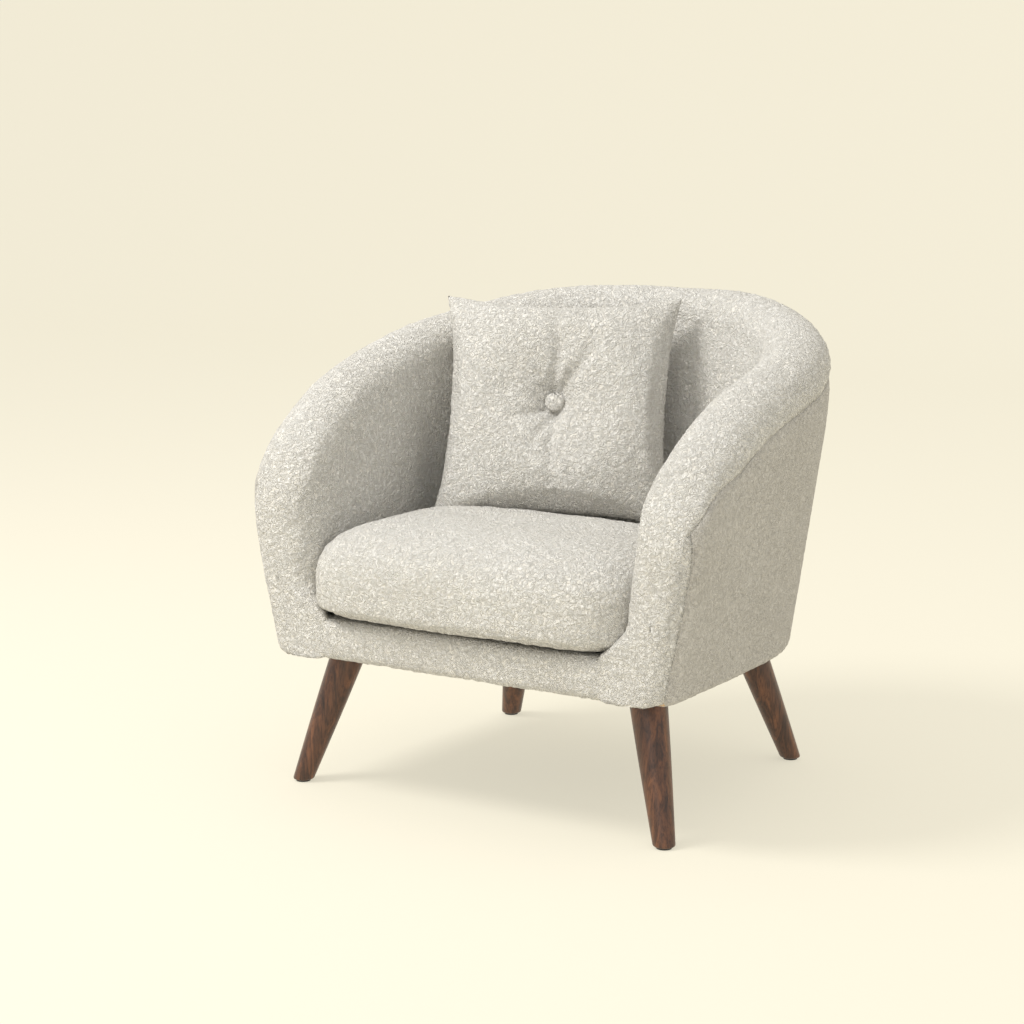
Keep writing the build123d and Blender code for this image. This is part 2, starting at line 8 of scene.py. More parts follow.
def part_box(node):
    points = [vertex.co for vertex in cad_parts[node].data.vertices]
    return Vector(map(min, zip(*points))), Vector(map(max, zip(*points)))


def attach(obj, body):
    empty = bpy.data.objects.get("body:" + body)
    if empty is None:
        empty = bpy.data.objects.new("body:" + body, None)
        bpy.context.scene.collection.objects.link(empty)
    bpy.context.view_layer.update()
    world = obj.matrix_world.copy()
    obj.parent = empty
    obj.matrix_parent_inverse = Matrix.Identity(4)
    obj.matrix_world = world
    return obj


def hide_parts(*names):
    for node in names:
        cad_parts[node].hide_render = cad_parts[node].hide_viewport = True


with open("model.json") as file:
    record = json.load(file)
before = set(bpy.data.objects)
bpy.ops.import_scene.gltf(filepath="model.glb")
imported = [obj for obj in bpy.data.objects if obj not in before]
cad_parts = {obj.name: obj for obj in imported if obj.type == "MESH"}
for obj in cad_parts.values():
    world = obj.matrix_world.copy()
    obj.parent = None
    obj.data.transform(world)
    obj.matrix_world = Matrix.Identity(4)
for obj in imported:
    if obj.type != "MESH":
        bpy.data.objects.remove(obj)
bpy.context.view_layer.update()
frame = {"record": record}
scene = bpy.context.scene

# ------------------------------------------------------------------ sizes from the frame, metres
OUTSIDE_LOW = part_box("cover_outside")[0]
ROLL_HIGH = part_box("cover_inside_and_roll")[1]
FACING_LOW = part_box("arm_facing_right")[0]
SEAT_LOW, SEAT_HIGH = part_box("seat_cushion_cover")
APRON_LOW, APRON_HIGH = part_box("apron_cover")

SPRING_PITCH = 0.080       # between the springs under the deck
FLARE_OVERRUN = 0.0062     # how much wider the plain solid grows above the roll's widest line
HALF_WIDTH = ROLL_HIGH[0] - FLARE_OVERRUN
FRONT_Y = FACING_LOW[1]
BACK_Y = ROLL_HIGH[1] - FLARE_OVERRUN
BASE_Z = OUTSIDE_LOW[2]
TOP_Z = ROLL_HIGH[2]
DECK_Z = SEAT_LOW[2]

# ------------------------------------------------------------------ shape of the upholstery, metres
ROLL_R = 0.053            # half the wall, rounded over its top
NOSE_R = 0.044            # rounding of the arms' upright front edges
SHOULDER_R = 0.080        # rounding of the arms' top front corner
HEM_R = 0.013             # rounding of the body's lower edge
BEND_Y = -0.010           # where the straight arms turn into the back
BASE_HALF_FRONT = 0.3475
BASE_HALF_BEND = 0.338
BASE_BACK_Y = 0.306
TOE_IN = 0.005            # how much the arms' fronts lean towards each other
FOOT_NOSE_R = 0.009       # rounding of the arm's inner front edge below the cushion
SEAT_HALF = 0.277
SEAT_BACK_Y = 0.170
CORNER_FILL = 0.027       # extra depth where the arms turn into the back, low down inside
ARM_FOOT_HALF = 0.240     # inner corner of the arm's front below the cushion
CREST_HEIGHTS = (0.505, 0.612, 0.662, 0.700, TOP_Z)
SEAM_DROP = 0.066
SEAM_RISE = 0.034         # how much higher the seam sits at the arms' fronts
FACING_EDGE = 0.012       # how far round from the arm's front the outside panel starts
FACING_SEAM_Z = 0.506
WALL_SWELL = 0.008        # how far the inner side bulges at half its height
SEAM_GROOVE = 0.0028      # depth of the seam round the outside panel
FACING_GROOVE = 0.0022    # depth of the seam across each arm's front
FACING_GROOVE_HALF = 0.006
SEAM_TUCK = 0.009         # how far the covers' edges turn in at the seam
CELL = 0.0056             # spacing of the upholstery's mesh
CURL = 0.0016             # height of the cloth's curls
PUFF = 0.0016             # height of the padding's soft unevenness

LINE_X = HALF_WIDTH - ROLL_R
LINE_BACK_Y = BACK_Y - ROLL_R
LINE_DEPTH = LINE_BACK_Y - BEND_Y


def mix(a, b, share):
    return a + (b - a) * share


def smooth(low, high, value):
    t = min(max((value - low) / (high - low), 0.0), 1.0)
    return t * t * (3 - 2 * t)


# ------------------------------------------------------------------ materials
def new_material(name):
    material = bpy.data.materials.new(name)
    material.use_nodes = True
    nodes = material.node_tree.nodes
    links = material.node_tree.links
    shader = nodes["Principled BSDF"]
    place = nodes.new("ShaderNodeTexCoord")
    return material, nodes, links, shader, place


def ramp(nodes, stops):
    node = nodes.new("ShaderNodeValToRGB")
    while len(node.color_ramp.elements) < len(stops):
        node.color_ramp.elements.new(0.5)
    for element, (spot, colour) in zip(node.color_ramp.elements, stops):
        element.position = spot
        element.color = (*colour, 1.0)
    return node


def noise_node(nodes, links, vector, scale, detail=2.0, rough=0.5, twist=0.0):
    node = nodes.new("ShaderNodeTexNoise")
    node.inputs["Scale"].default_value = scale
    node.inputs["Detail"].default_value = detail
    node.inputs["Roughness"].default_value = rough
    node.inputs["Distortion"].default_value = twist
    links.new(vector, node.inputs["Vector"])
    return node


def math_node(nodes, links, kind, first, second=None):
    node = nodes.new("ShaderNodeMath")
    node.operation = kind
    for socket, value in zip(node.inputs, (first, second)):
        if value is None:
            continue
        if isinstance(value, (int, float)):
            socket.default_value = value
        else:
            links.new(value, socket)
    return node.outputs[0]


def bump_node(nodes, links, shader, height, strength, distance):
    bump = nodes.new("ShaderNodeBump")
    bump.inputs["Strength"].default_value = strength
    bump.inputs["Distance"].default_value = distance
    links.new(height, bump.inputs["Height"])
    links.new(bump.outputs["Normal"], shader.inputs["Normal"])


def boucle(name, light, painted_hollow_shade, relief):
    """Curly looped cloth: short twisted ridges, with painted shade making the hollows between them darker.
    """
    material, nodes, links, shader, place = new_material(name)
    where = place.outputs["Object"]
    curls = noise_node(nodes, links, where, 135.0, 1.5, 0.45, 1.8)
    centred = math_node(nodes, links, "SUBTRACT", curls.outputs["Fac"], 0.5)
    fold = math_node(nodes, links, "ABSOLUTE", centred)
    ridge = math_node(nodes, links, "MULTIPLY", fold, -7.0)
    ridge = math_node(nodes, links, "ADD", ridge, 1.0)
    ridge = math_node(nodes, links, "MAXIMUM", ridge, 0.0)
    loops = nodes.new("ShaderNodeTexVoronoi")
    loops.feature = "SMOOTH_F1"
    loops.inputs["Scale"].default_value = 165.0
    loops.inputs["Smoothness"].default_value = 0.35
    bend = noise_node(nodes, links, where, 90.0, 2.0, 0.5, 0.6)
    shift = nodes.new("ShaderNodeVectorMath")
    shift.operation = "MULTIPLY_ADD"
    shift.inputs[1].default_value = (0.012, 0.012, 0.012)
    links.new(bend.outputs["Color"], shift.inputs[0])
    links.new(where, shift.inputs[2])
    links.new(shift.outputs[0], loops.inputs["Vector"])
    knot = math_node(nodes, links, "MULTIPLY", loops.outputs["Distance"], -1.1)
    knot = math_node(nodes, links, "ADD", knot, 1.0)
    height = math_node(nodes, links, "ADD", math_node(nodes, links, "MULTIPLY", ridge, 0.75), knot)
    fibre = noise_node(nodes, links, where, 900.0, 2.0, 0.6, 0.4)
    fuzz = math_node(nodes, links, "MULTIPLY", fibre.outputs["Fac"], 0.28)
    height = math_node(nodes, links, "ADD", height, fuzz)
    # painted shade: the low parts of the relief take the darker colour, standing in for shade in the hollows
    # between the curls
    tone = ramp(nodes, [(0.35, painted_hollow_shade), (1.25 / 2.0, light), (1.0, light)])
    links.new(math_node(nodes, links, "MULTIPLY", height, 0.5), tone.inputs["Fac"])
    patch = noise_node(nodes, links, where, 9.0, 2.0)
    shade = ramp(nodes, [(0.3, (0.955, 0.95, 0.94)), (0.7, (1.0, 1.0, 1.0))])
    links.new(patch.outputs["Fac"], shade.inputs["Fac"])
    blend = nodes.new("ShaderNodeMix")
    blend.data_type = "RGBA"
    blend.blend_type = "MULTIPLY"
    blend.inputs["Factor"].default_value = 1.0
    links.new(tone.outputs["Color"], blend.inputs["A"])
    links.new(shade.outputs["Color"], blend.inputs["B"])
    links.new(blend.outputs["Result"], shader.inputs["Base Color"])
    shader.inputs["Roughness"].default_value = 0.95
    shader.inputs["Sheen Weight"].default_value = 0.22
    shader.inputs["Sheen Roughness"].default_value = 0.6
    shader.inputs["Specular IOR Level"].default_value = 0.15
    bump_node(nodes, links, shader, height, 0.85, relief)
    return material


def walnut(name):
    material, nodes, links, shader, place = new_material(name)
    stretch = nodes.new("ShaderNodeMapping")
    stretch.inputs["Scale"].default_value = (1.0, 1.0, 0.11)
    links.new(place.outputs["Object"], stretch.inputs["Vector"])
    figure = noise_node(nodes, links, stretch.outputs["Vector"], 75.0, 4.0, 0.6, 1.3)
    pores = noise_node(nodes, links, stretch.outputs["Vector"], 520.0, 3.0, 0.6, 0.2)
    tone = ramp(nodes, [(0.28, (0.026, 0.010, 0.005)), (0.5, (0.095, 0.036, 0.016)),
                        (0.72, (0.21, 0.082, 0.034))])
    links.new(figure.outputs["Fac"], tone.inputs["Fac"])
    specks = ramp(nodes, [(0.36, (0.45, 0.42, 0.4)), (0.5, (1.0, 1.0, 1.0))])
    links.new(pores.outputs["Fac"], specks.inputs["Fac"])
    blend = nodes.new("ShaderNodeMix")
    blend.data_type = "RGBA"
    blend.blend_type = "MULTIPLY"
    blend.inputs["Factor"].default_value = 0.8
    links.new(tone.outputs["Color"], blend.inputs["A"])
    links.new(specks.outputs["Color"], blend.inputs["B"])
    links.new(blend.outputs["Result"], shader.inputs["Base Color"])
    gloss = nodes.new("ShaderNodeMapRange")
    gloss.inputs["To Min"].default_value = 0.3
    gloss.inputs["To Max"].default_value = 0.48
    links.new(figure.outputs["Fac"], gloss.inputs["Value"])
    links.new(gloss.outputs["Result"], shader.inputs["Roughness"])
    shader.inputs["Coat Weight"].default_value = 0.25
    shader.inputs["Coat Roughness"].default_value = 0.25
    bump_node(nodes, links, shader, pores.outputs["Fac"], 0.25, 0.0006)
    return material


def grained(name, low, high, scale, stretch, rough, relief, metal=0.0):
    """A plain finish with its own grain: planed wood, foam, felt, board or plated steel."""
    material, nodes, links, shader, place = new_material(name)
    mapping = nodes.new("ShaderNodeMapping")
    mapping.inputs["Scale"].default_value = stretch
    links.new(place.outputs["Object"], mapping.inputs["Vector"])
    grain = noise_node(nodes, links, mapping.outputs["Vector"], scale, 4.0, 0.6, 0.3)
    tone = ramp(nodes, [(0.3, low), (0.7, high)])
    links.new(grain.outputs["Fac"], tone.inputs["Fac"])
    links.new(tone.outputs["Color"], shader.inputs["Base Color"])
    shader.inputs["Roughness"].default_value = rough
    shader.inputs["Metallic"].default_value = metal
    bump_node(nodes, links, shader, grain.outputs["Fac"], 0.5, relief)
    return material


def woven(name, low, high, threads, rough=0.9):
    """Plain woven cloth: two crossing sets of threads."""
    material, nodes, links, shader, place = new_material(name)
    heights = []
    for axis in ("X", "Y"):
        wave = nodes.new("ShaderNodeTexWave")
        wave.bands_direction = axis
        wave.inputs["Scale"].default_value = threads
        wave.inputs["Distortion"].default_value = 0.6
        links.new(place.outputs["Object"], wave.inputs["Vector"])
        heights.append(wave.outputs["Fac"])
    height = math_node(nodes, links, "MULTIPLY", *heights)
    tone = ramp(nodes, [(0.0, low), (0.8, high)])
    links.new(height, tone.inputs["Fac"])
    links.new(tone.outputs["Color"], shader.inputs["Base Color"])
    shader.inputs["Roughness"].default_value = rough
    bump_node(nodes, links, shader, height, 0.5, 0.0006)
    return material


CREAM = boucle("cream_boucle", (0.94, 0.92, 0.875), (0.83, 0.80, 0.735), 0.0050)
# painted shade: the outside panel's bouclé, also used on the seat deck, is the cream bouclé darkened for the
# side turned away from the key light; its relief is lower
SHADE_DARKENED_BOUCLE = boucle("outside_boucle", (0.61, 0.585, 0.54), (0.51, 0.485, 0.44), 0.0020)
WALNUT = walnut("walnut")
INNER_FINISHES = {
    "foam": grained("seat_foam", (0.80, 0.72, 0.45), (0.90, 0.84, 0.60), 420.0, (1, 1, 1), 0.95, 0.0012),
    "fibre_filling": grained("fibre", (0.82, 0.82, 0.79), (0.95, 0.95, 0.93), 160.0, (1, 1, 1), 1.0, 0.003),
    "frame_beech": grained("beech", (0.50, 0.33, 0.18), (0.68, 0.49, 0.29), 55.0, (1, 0.12, 1), 0.6, 0.0004),
    "zinc_steel": grained("plated_steel", (0.50, 0.50, 0.48), (0.66, 0.66, 0.63), 240.0,
                          (1, 1, 1), 0.34, 0.0001, 1.0),
    "nylon": grained("glide_nylon", (0.020, 0.018, 0.016), (0.045, 0.04, 0.036), 300.0,
                     (1, 1, 1), 0.5, 0.0002),
    "board": grained("fibreboard", (0.36, 0.25, 0.14), (0.52, 0.38, 0.23), 260.0, (1, 1, 1), 0.85, 0.0004),
    "lining_cloth": woven("lining", (0.010, 0.010, 0.010), (0.055, 0.053, 0.05), 260.0),
    "slider_metal": grained("slider_brass", (0.42, 0.32, 0.14), (0.62, 0.49, 0.24), 300.0,
                            (1, 1, 1), 0.35, 0.0001, 1.0),
    "walnut": WALNUT,
    "boucle": CREAM,
    "outside_boucle": SHADE_DARKENED_BOUCLE,
}
NODE_SLOTS = {entry["node"]: entry["material_slot"] for entry in frame["record"]["subparts"]}


def finish_cad_nodes():
    """Give every CAD node that is kept the finish of its slot."""
    for node, slot in NODE_SLOTS.items():
        thing = bpy.data.objects.get(node)
        if thing is None:
            continue
        if not thing.material_slots:
            thing.data.materials.append(INNER_FINISHES[slot])
        for place in thing.material_slots:
            place.material = INNER_FINISHES[slot]


# ------------------------------------------------------------------ making pieces
def piece_from(name, bm, material, body, replaced):
    """Turn a bmesh into a piece that rides on a body and stands for some CAD nodes."""
    bmesh.ops.recalc_face_normals(bm, faces=bm.faces[:])
    mesh = bpy.data.meshes.new(name)
    bm.to_mesh(mesh)
    bm.free()
    mesh.shade_smooth()
    mesh.materials.append(material)
    piece = bpy.data.objects.new(name, mesh)
    scene.collection.objects.link(piece)
    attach(piece, body)
    if replaced:
        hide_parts(*replaced)
    return piece


def cloth_height(place):
    """Relief of the cloth and its padding at a place, from seeded noise."""
    curl = noise.noise(place * 150.0) + 0.5 * noise.noise(place * 260.0 + Vector((7.0, 3.0, 1.0)))
    puff = noise.noise(place * 11.0 + Vector((2.0, 5.0, 9.0)))
    return CURL * curl + PUFF * puff


def roughen(bm):
    """Move every vertex along its normal by the cloth's relief."""
    bm.normal_update()
    moves = [vert.normal * cloth_height(vert.co) for vert in bm.verts]
    for vert, move in zip(bm.verts, moves):
        vert.co += move


def grid(columns, rows, place):
    """A grid of cells whose corners are put in place by a function of column and row."""
    bm = bmesh.new()
    bmesh.ops.create_grid(bm, x_segments=columns, y_segments=rows, size=0.5)
    spots = {}
    for vert in bm.verts:
        column = round((vert.co.x + 0.5) * columns)
        row = round((vert.co.y + 0.5) * rows)
        spots[vert] = (column, row)
    for vert, (column, row) in spots.items():
        vert.co = place(column, row)
    return bm, spots


# ------------------------------------------------------------------ arms and back
def crest(y):
    """Height of the wall's top at a depth, a smooth curve through the crest heights."""
    ys = (FRONT_Y, (FRONT_Y + BEND_Y) / 2, BEND_Y, (BEND_Y + LINE_BACK_Y) / 2, LINE_BACK_Y)
    zs = CREST_HEIGHTS
    last = len(ys) - 1
    slopes = [(zs[min(i + 1, last)] - zs[max(i - 1, 0)]) / (ys[min(i + 1, last)] - ys[max(i - 1, 0)])
              for i in range(last)] + [0.0]
    i = 0
    while i < last - 1 and y > ys[i + 1]:
        i += 1
    span = ys[i + 1] - ys[i]
    t = min(max((y - ys[i]) / span, 0.0), 1.0)
    return ((2 * t**3 - 3 * t**2 + 1) * zs[i] + (t**3 - 2 * t**2 + t) * span * slopes[i]
            + (3 * t**2 - 2 * t**3) * zs[i + 1] + (t**3 - t**2) * span * slopes[i + 1])


def rounding(radius, travel):
    """How far a rounded edge stands back at a distance from where it starts."""
    left = min(max(radius - travel, 0.0), radius)
    return radius - math.sqrt(radius * radius - left * left)


def eased(share):
    """Straight for three quarters of the way, then easing to upright at the top."""
    if share < 0.75:
        return share / 0.875
    u = (share - 0.75) / 0.25
    return (0.75 + 0.25 * (u - u * u / 2)) / 0.875


class Station:
    """One upright section of the wall."""

    def __init__(self, x, y, outward, base, deck, travel, extra=0.0, closed=False):
        self.x = x
        self.y = y
        self.outward = outward
        self.base = base
        self.deck = deck
        self.travel = travel
        self.closed = closed
        self.along = y - FRONT_Y
        self.side = min(rounding(NOSE_R, travel) + extra, ROLL_R - 0.0002)
        self.top = crest(y) - rounding(SHOULDER_R, travel) - extra
        self.radius = ROLL_R - self.side
        self.centre_z = self.top - self.radius
        self.foot = (SEAT_HALF - ARM_FOOT_HALF) * smooth(0.06, 0.0, travel)

    def outer(self, z):
        flat = mix(self.base, ROLL_R, eased((z - BASE_Z) / (self.centre_z - BASE_Z)))
        return flat - self.side - rounding(HEM_R, z - BASE_Z)

    def inner(self, z):
        swell = WALL_SWELL * math.sin(math.pi * min(max((z - BASE_Z) / (self.centre_z - BASE_Z), 0.0), 1.0))
        flat = mix(self.deck, -ROLL_R, (z - DECK_Z) / (self.centre_z - DECK_Z))
        above_foot = smooth(DECK_Z - 0.012, DECK_Z + 0.055, z)
        foot = self.foot * (1.0 - above_foot)
        nose = rounding(FOOT_NOSE_R, self.travel) + max(self.side - rounding(NOSE_R, self.travel), 0.0)
        return flat - swell + mix(nose, self.side, above_foot) - foot + rounding(HEM_R, z - BASE_Z)

    def point(self, offset, z):
        if self.closed:
            offset = (self.outer(z) + self.inner(z)) / 2
        return Vector((self.x + self.outward[0] * offset, self.y + self.outward[1] * offset, z))


def wall_stations():
    """The wall's sections in order: right arm from the front, round the back, left arm."""
    travels = [(0.0, extra) for extra in (0.0088, 0.0088, 0.0045)]
    turns = 15
    travels += [(SHOULDER_R * (1 - math.cos(math.pi / 2 * i / turns)), 0.0) for i in range(turns + 1)]
    straight = BEND_Y - FRONT_Y - SHOULDER_R
    steps = round(straight / CELL)
    travels += [(SHOULDER_R + straight * i / steps, 0.0) for i in range(1, steps)]
    right, left = [], []
    for index, (travel, extra) in enumerate(travels):
        y = FRONT_Y + travel
        closed = index == 0
        base = mix(BASE_HALF_FRONT, BASE_HALF_BEND, travel / (BEND_Y - FRONT_Y)) - LINE_X + TOE_IN * 0.5
        line_x = LINE_X - TOE_IN * (1.0 - smooth(0.0, 0.2, travel))
        right.append(Station(line_x, y, (1.0, 0.0), base, SEAT_HALF - LINE_X, travel, extra, closed))
        left.append(Station(-line_x, y, (-1.0, 0.0), base, SEAT_HALF - LINE_X, travel, extra, closed))
    round_steps = round(math.pi * (LINE_X + LINE_DEPTH) / 2 / CELL)
    back = []
    for i in range(round_steps + 1):
        angle = math.pi * i / round_steps
        c, s = math.cos(angle), math.sin(angle)
        size = math.hypot(LINE_DEPTH * c, LINE_X * s)
        base = mix(BASE_HALF_BEND - LINE_X, BASE_BACK_Y - LINE_BACK_Y, s * s)
        deck = mix(SEAT_HALF - LINE_X, SEAT_BACK_Y - LINE_BACK_Y, s * s) - CORNER_FILL * (2 * s * c) ** 2
        outward = (LINE_DEPTH * c / size, LINE_X * s / size)
        back.append(Station(LINE_X * c, BEND_Y + LINE_DEPTH * s, outward, base, deck, SHOULDER_R))
    return right + back + left[::-1]


ARC_ROWS = 32
LIP_ROWS = 3
OUTER_ROWS = 74
INNER_ROWS = OUTER_ROWS + LIP_ROWS
UNDER_ROWS = 12
SMALL_HOLE = 80
SEAM_ROW = INNER_ROWS + ARC_ROWS + LIP_ROWS
RING_ROWS = SEAM_ROW + OUTER_ROWS + UNDER_ROWS


def over_and_down(station, length):
    """A point at a length along the section, from the inner side over the top and down outside."""
    r = station.radius
    if length <= math.pi * r:
        angle = length / r
        return station.point(-r * math.cos(angle), station.centre_z + r * math.sin(angle))
    z = station.centre_z - (length - math.pi * r)
    return station.point(station.outer(z), z)


def ring_point(station, row):
    """A point of the section: up the inside, over the top, down the outside and underneath."""
    lip = SEAM_DROP - ROLL_R
    if row <= OUTER_ROWS:
        z = mix(BASE_Z, station.centre_z - lip, row / OUTER_ROWS)
        return station.point(station.inner(z), z)
    if row <= INNER_ROWS:
        z = station.centre_z - lip * (INNER_ROWS - row) / LIP_ROWS
        return station.point(station.inner(z), z)
    rise = SEAM_RISE * smooth(0.0, FACING_EDGE, station.travel) * (1.0 - smooth(0.02, 0.15, station.along))
    to_seam = math.pi * station.radius + lip - rise
    to_hem = math.pi * station.radius + station.centre_z - BASE_Z
    if row <= SEAM_ROW:
        return over_and_down(station, to_seam * (row - INNER_ROWS) / (SEAM_ROW - INNER_ROWS))
    if row <= SEAM_ROW + OUTER_ROWS:
        return over_and_down(station, mix(to_seam, to_hem, (row - SEAM_ROW) / OUTER_ROWS))
    share = (row - SEAM_ROW - OUTER_ROWS) / UNDER_ROWS
    offset = mix(station.outer(BASE_Z), station.inner(BASE_Z), share)
    return station.point(offset, BASE_Z)


STATIONS = wall_stations()
SECTION_POINTS = [[ring_point(station, row) for row in range(RING_ROWS + 1)] for station in STATIONS]


def wall_piece(name, material, replaced, panel):
    """One cover of the wall: the outside panel, or everything else with the roll."""
    last = len(STATIONS) - 1
    bm, spots = grid(last, RING_ROWS, lambda column, row: SECTION_POINTS[column][row])
    seam_columns = [i for i, station in enumerate(STATIONS) if station.travel >= FACING_EDGE]
    first_panel, last_panel = seam_columns[0], seam_columns[-1]

    def in_panel(face):
        columns = [spots[vert][0] for vert in face.verts]
        rows = [spots[vert][1] for vert in face.verts]
        return min(columns) >= first_panel and max(columns) <= last_panel and min(rows) >= SEAM_ROW

    wanted = {face for face in bm.faces if in_panel(face) == panel}
    bmesh.ops.remove_doubles(bm, verts=bm.verts[:], dist=0.0003)
    bmesh.ops.recalc_face_normals(bm, faces=bm.faces[:])
    bm.normal_update()
    moves = []
    for vert in bm.verts:
        column, row = spots[vert]
        along = min(abs(column - first_panel), abs(column - last_panel)) if row >= SEAM_ROW else 99
        across = abs(row - SEAM_ROW) if first_panel <= column <= last_panel else 99
        near = min(along, across)
        calm = smooth(0.0, 3.0, near)
        pucker = 1.0 + 0.6 * noise.noise(vert.co * 55.0)
        groove = SEAM_GROOVE * pucker * max(0.0, 1.0 - near / 2.4)
        facing = abs(vert.co.z - FACING_SEAM_Z)
        if STATIONS[column].travel < 0.035 and row < SEAM_ROW and facing < FACING_GROOVE_HALF:
            groove = max(groove, FACING_GROOVE * (1.0 - facing / FACING_GROOVE_HALF))
        rise = cloth_height(vert.co) * mix(0.25, 1.0, calm) * (0.45 if panel else 1.0)
        moves.append(vert.normal * (rise - groove))
    for vert, move in zip(bm.verts, moves):
        vert.co += move
    drop = [face for face in bm.faces if face not in wanted]
    bmesh.ops.delete(bm, geom=drop, context="FACES")
    bmesh.ops.holes_fill(bm, edges=[edge for edge in bm.edges if edge.is_boundary], sides=SMALL_HOLE)
    edges = [edge for edge in bm.edges if edge.is_boundary]
    lip = bmesh.ops.extrude_edge_only(bm, edges=edges)
    for vert in [item for item in lip["geom"] if isinstance(item, bmesh.types.BMVert)]:
        radial = Vector((vert.co.x, max(vert.co.y - BEND_Y, 0.0), 0.0)).normalized()
        vert.co -= radial * SEAM_TUCK
    return piece_from(name, bm, material, "root", replaced)


wall_piece("inside_cover_and_roll", CREAM,
           ("cover_inside_and_roll", "arm_facing_left", "arm_facing_right"), False)
wall_piece("outside_cover", SHADE_DARKENED_BOUCLE, ("cover_outside",), True)


def make_wall_foam():
    """The padding under the wall's covers, a coarser skin set in from them."""
    last = len(STATIONS) - 1
    coarse = 3
    columns = last // coarse
    rows = RING_ROWS // coarse

    def place(column, row):
        return SECTION_POINTS[round(column * last / columns)][round(row * RING_ROWS / rows)]

    bm, _ = grid(columns, rows, place)
    close_skin(bm)
    shrink(bm, 0.007)
    return piece_from("wall_padding", bm, INNER_FINISHES["foam"], "root",
                      ("wall_foam", "backing_burlap", "backing_board"))


def close_skin(bm):
    """Merge the grid's meeting edges into one closed skin that faces outwards."""
    bmesh.ops.remove_doubles(bm, verts=bm.verts[:], dist=0.0004)
    edges = [edge for edge in bm.edges if edge.is_boundary]
    if edges:
        bmesh.ops.holes_fill(bm, edges=edges, sides=0)
    bmesh.ops.recalc_face_normals(bm, faces=bm.faces[:])


def shrink(bm, depth):
    """Set every vertex in along its normal."""
    bm.normal_update()
    moves = [vert.normal * -depth for vert in bm.verts]
    for vert, move in zip(bm.verts, moves):
        vert.co += move


def core_piece(name, bm, depth, finish, body, replaced):
    """The filling inside a cover: the cover's own shape, set in by a depth."""
    core = bm.copy()
    close_skin(core)
    shrink(core, depth)
    return piece_from(name, core, INNER_FINISHES[finish], body, replaced)


make_wall_foam()


# ------------------------------------------------------------------ apron
APRON_EDGE_R = 0.011
APRON_BELLY = 0.003


def make_apron():
    """The padded rail between the arms' fronts, below the cushion."""
    half = ARM_FOOT_HALF + 0.028
    depth = APRON_HIGH[1] - APRON_LOW[1]
    low_z, high_z = APRON_LOW[2], APRON_HIGH[2]
    columns = round(2 * half / CELL)
    front_rows, edge_rows = 12, 8
    rows = 2 * edge_rows + front_rows

    def place(column, row):
        x = mix(-half, half, column / columns)
        end = 0.004 * smooth(ARM_FOOT_HALF - 0.012, ARM_FOOT_HALF + 0.004, abs(x))
        r = APRON_EDGE_R
        if row < edge_rows:
            y = mix(APRON_LOW[1] + depth, APRON_LOW[1] + r * 0.3, row / edge_rows)
            z = low_z + rounding(r, y - APRON_LOW[1])
        elif row <= edge_rows + front_rows:
            z = mix(low_z + r * 0.35, high_z - r * 0.35, (row - edge_rows) / front_rows)
            belly = APRON_BELLY * math.sin(math.pi * (z - low_z) / (high_z - low_z))
            y = APRON_LOW[1] + min(rounding(r, z - low_z) + rounding(r, high_z - z), r) - belly
        else:
            y = mix(APRON_LOW[1] + r * 0.3, APRON_LOW[1] + depth, (row - edge_rows - front_rows) / edge_rows)
            z = high_z - rounding(r, y - APRON_LOW[1])
        return Vector((x, y + end * smooth(depth, 0.0, y - APRON_LOW[1]), z))

    bm, _ = grid(columns, rows, place)
    bmesh.ops.recalc_face_normals(bm, faces=bm.faces[:])
    front = max(bm.faces, key=lambda face: -face.calc_center_median().y)
    if front.normal.y > 0:
        bmesh.ops.reverse_faces(bm, faces=bm.faces[:])
    core_piece("apron_padding", bm, 0.004, "foam", "root", ("apron_pad",))
    roughen(bm)
    edges = [edge for edge in bm.edges if edge.is_boundary]
    bmesh.ops.holes_fill(bm, edges=edges, sides=0)
    return piece_from("apron", bm, CREAM, "root", ("apron_cover",))


make_apron()


# ------------------------------------------------------------------ seat cushion
CUSHION_HALF = SEAT_HALF - 0.001
CUSHION_FRONT = SEAT_LOW[1] - 0.004
CUSHION_CORNER = 0.075
CUSHION_BEND = SEAT_HIGH[1] - SEAT_HALF
CUSHION_POLE = Vector((0.0, -0.03, 0.0))
CUSHION_BOW = 0.012
CUSHION_WAIST = 0.046
CUSHION_CROWN = 0.012
CUSHION_BACK_DROP = 0.045
CUSHION_SEAM_UP = 0.012
CUSHION_SEAM_HALF = 0.005
CUSHION_SEAM_DEPTH = 0.0035


def cushion_reach(direction):
    """Distance from the cushion's pole to its plan outline in a direction."""
    low, high = 0.0, 1.0
    for _ in range(26):
        middle = (low + high) / 2
        x = CUSHION_POLE.x + direction[0] * middle
        y = CUSHION_POLE.y + direction[1] * middle
        if cushion_holds(x, y):
            low = middle
        else:
            high = middle
    return low


def cushion_holds(x, y):
    """Whether a place lies inside the cushion's plan outline."""
    if y > CUSHION_BEND:
        return math.hypot(x, y - CUSHION_BEND) < CUSHION_HALF
    bow = CUSHION_FRONT + CUSHION_BOW * (x / CUSHION_HALF) ** 2
    if abs(x) > CUSHION_HALF or y < bow:
        return False
    dx = abs(x) - (CUSHION_HALF - CUSHION_CORNER)
    dy = (bow + CUSHION_CORNER) - y
    return dx < 0 or dy < 0 or math.hypot(dx, dy) < CUSHION_CORNER


